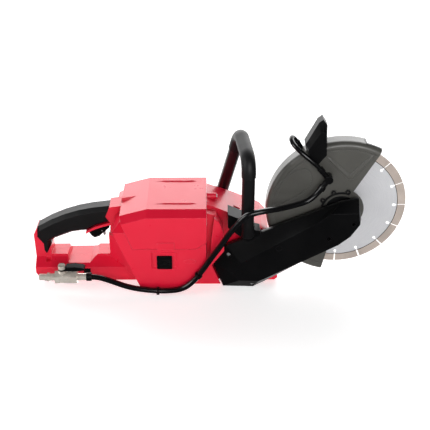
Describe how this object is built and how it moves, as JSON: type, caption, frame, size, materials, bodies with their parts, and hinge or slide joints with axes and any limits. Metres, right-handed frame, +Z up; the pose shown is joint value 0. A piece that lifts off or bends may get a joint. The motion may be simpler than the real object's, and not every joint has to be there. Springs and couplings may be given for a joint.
{
  "type": "cordless cut-off rescue saw",
  "caption": "Battery cut-off rescue saw: segmented disc with tilting guard, belt arm, hinged battery lid, tube front handle, rear grip with trigger, and water feed with valve.",
  "frame": {"origin": "bottom centre of the whole saw, on the surface it stands on", "axes": "+X forwards towards the blade, +Y away from the belt cover towards the motor side, +Z up"},
  "size_m": [0.652, 0.1786, 0.316],
  "materials": {
    "red_plastic": "fine-grained glass-filled nylon",
    "black_plastic": "fine-grained",
    "rubber": "soft matt overmould",
    "guard_steel": "warm grey satin powder coat",
    "casting": "black painted magnesium",
    "steel": "ground",
    "blade_steel": "ground disc with fine radial marks",
    "segment": "sintered diamond segment",
    "nickel": "satin nickel plate",
    "copper": "copper windings",
    "board": "circuit board",
    "window": "dark lens",
    "hose": "smooth hose"
  },
  "bodies": {
    "root": {"arm_casting": "casting", "battery_pack": "black_plastic", "belt_cover": "black_plastic", "body_feet": "rubber", "body_housing": "red_plastic", "controller_board": "board", "cover_screws": "steel", "drive_belt": "rubber", "front_foot": "red_plastic", "front_grip": "rubber", "front_handle_tube": "casting", "handle_bracket_far": "black_plastic", "handle_bracket_near": "black_plastic", "handle_grip": "rubber", "handle_shell_far": "red_plastic", "handle_shell_near": "red_plastic", "hose_barb": "nickel", "hose_ties": "black_plastic", "latch_spring": "steel", "lid_hinge_pin": "steel", "motor_bearings": "steel", "motor_end_cap": "red_plastic", "motor_housing": "red_plastic", "motor_stator": "copper", "quick_connect_plug": "nickel", "rear_feet": "rubber", "spindle_bearings": "steel", "status_window": "window", "tension_plug": "black_plastic", "terminal_block": "black_plastic", "trigger_pin": "steel", "trigger_switch": "black_plastic", "valve_body": "nickel", "valve_clamp": "black_plastic", "water_hose": "hose"},
    "blade": {"spindle": "steel", "spindle_pulley": "steel", "inner_flange": "steel", "blade_core": "blade_steel", "blade_segments": "segment", "outer_flange": "steel", "arbor_bolt": "steel"},
    "motor": {"motor_shaft": "steel", "motor_rotor": "steel", "motor_fan": "black_plastic", "motor_pulley": "steel"},
    "guard": {"guard_shell": "guard_steel", "guard_lip": "steel", "guard_knob": "black_plastic", "tee_fitting": "black_plastic", "nozzle": "black_plastic", "cross_hose": "hose", "guard_hose": "hose"},
    "trigger": {"trigger": "black_plastic", "lever_pin": "steel"},
    "lock_off": {"lock_off_lever": "steel"},
    "lid": {"lid": "red_plastic"},
    "latch": {"latch_button": "black_plastic"},
    "valve": {"valve_lever": "black_plastic", "valve_ball": "nickel"}
  },
  "joints": [
    {"name": "blade_spin", "type": "hinge", "parent": "root", "child": "blade", "pos_m": [0.211, -0.00972, 0.15], "axis": [0, 1, 0], "continuous": true},
    {"name": "motor_spin", "type": "hinge", "parent": "root", "child": "motor", "pos_m": [0.058, -0.00972, 0.0476], "axis": [0, 1, 0], "continuous": true},
    {"name": "guard_turn", "type": "hinge", "parent": "root", "child": "guard", "pos_m": [0.211, -0.00972, 0.15], "axis": [0, 1, 0], "range_deg": [-15, 45], "deforming": ["guard_hose"]},
    {"name": "trigger_pull", "type": "hinge", "parent": "root", "child": "trigger", "pos_m": [-0.195, 0.00928, 0.1098], "axis": [0, 1, 0], "range_deg": [0, 9], "stiffness_Nm_per_rad": 0.9, "springref_deg": -5.73},
    {"name": "lock_off_press", "type": "hinge", "parent": "trigger", "child": "lock_off", "pos_m": [-0.206, 0.00928, 0.0915], "axis": [0, 1, 0], "range_deg": [0, 18], "stiffness_Nm_per_rad": 0.08, "springref_deg": -11.46},
    {"name": "lid_open", "type": "hinge", "parent": "root", "child": "lid", "pos_m": [-0.094, 0.08478, 0.093], "axis": [-1, 0, 0], "range_deg": [0, 100]},
    {"name": "latch_press", "type": "slide", "parent": "root", "child": "latch", "axis": [0, 1, 0], "range_m": [0, 0.0025], "stiffness_N_per_m": 900, "springref_m": -0.002, "deforming": ["latch_spring"]},
    {"name": "valve_turn", "type": "hinge", "parent": "root", "child": "valve", "pos_m": [-0.274, -0.04972, 0.028], "axis": [0, 0, 1], "range_deg": [-90, 0]}
  ],
  "couplings": [
    {"joint": "motor_spin", "follows": "blade_spin", "ratio": 1.5}
  ]
}
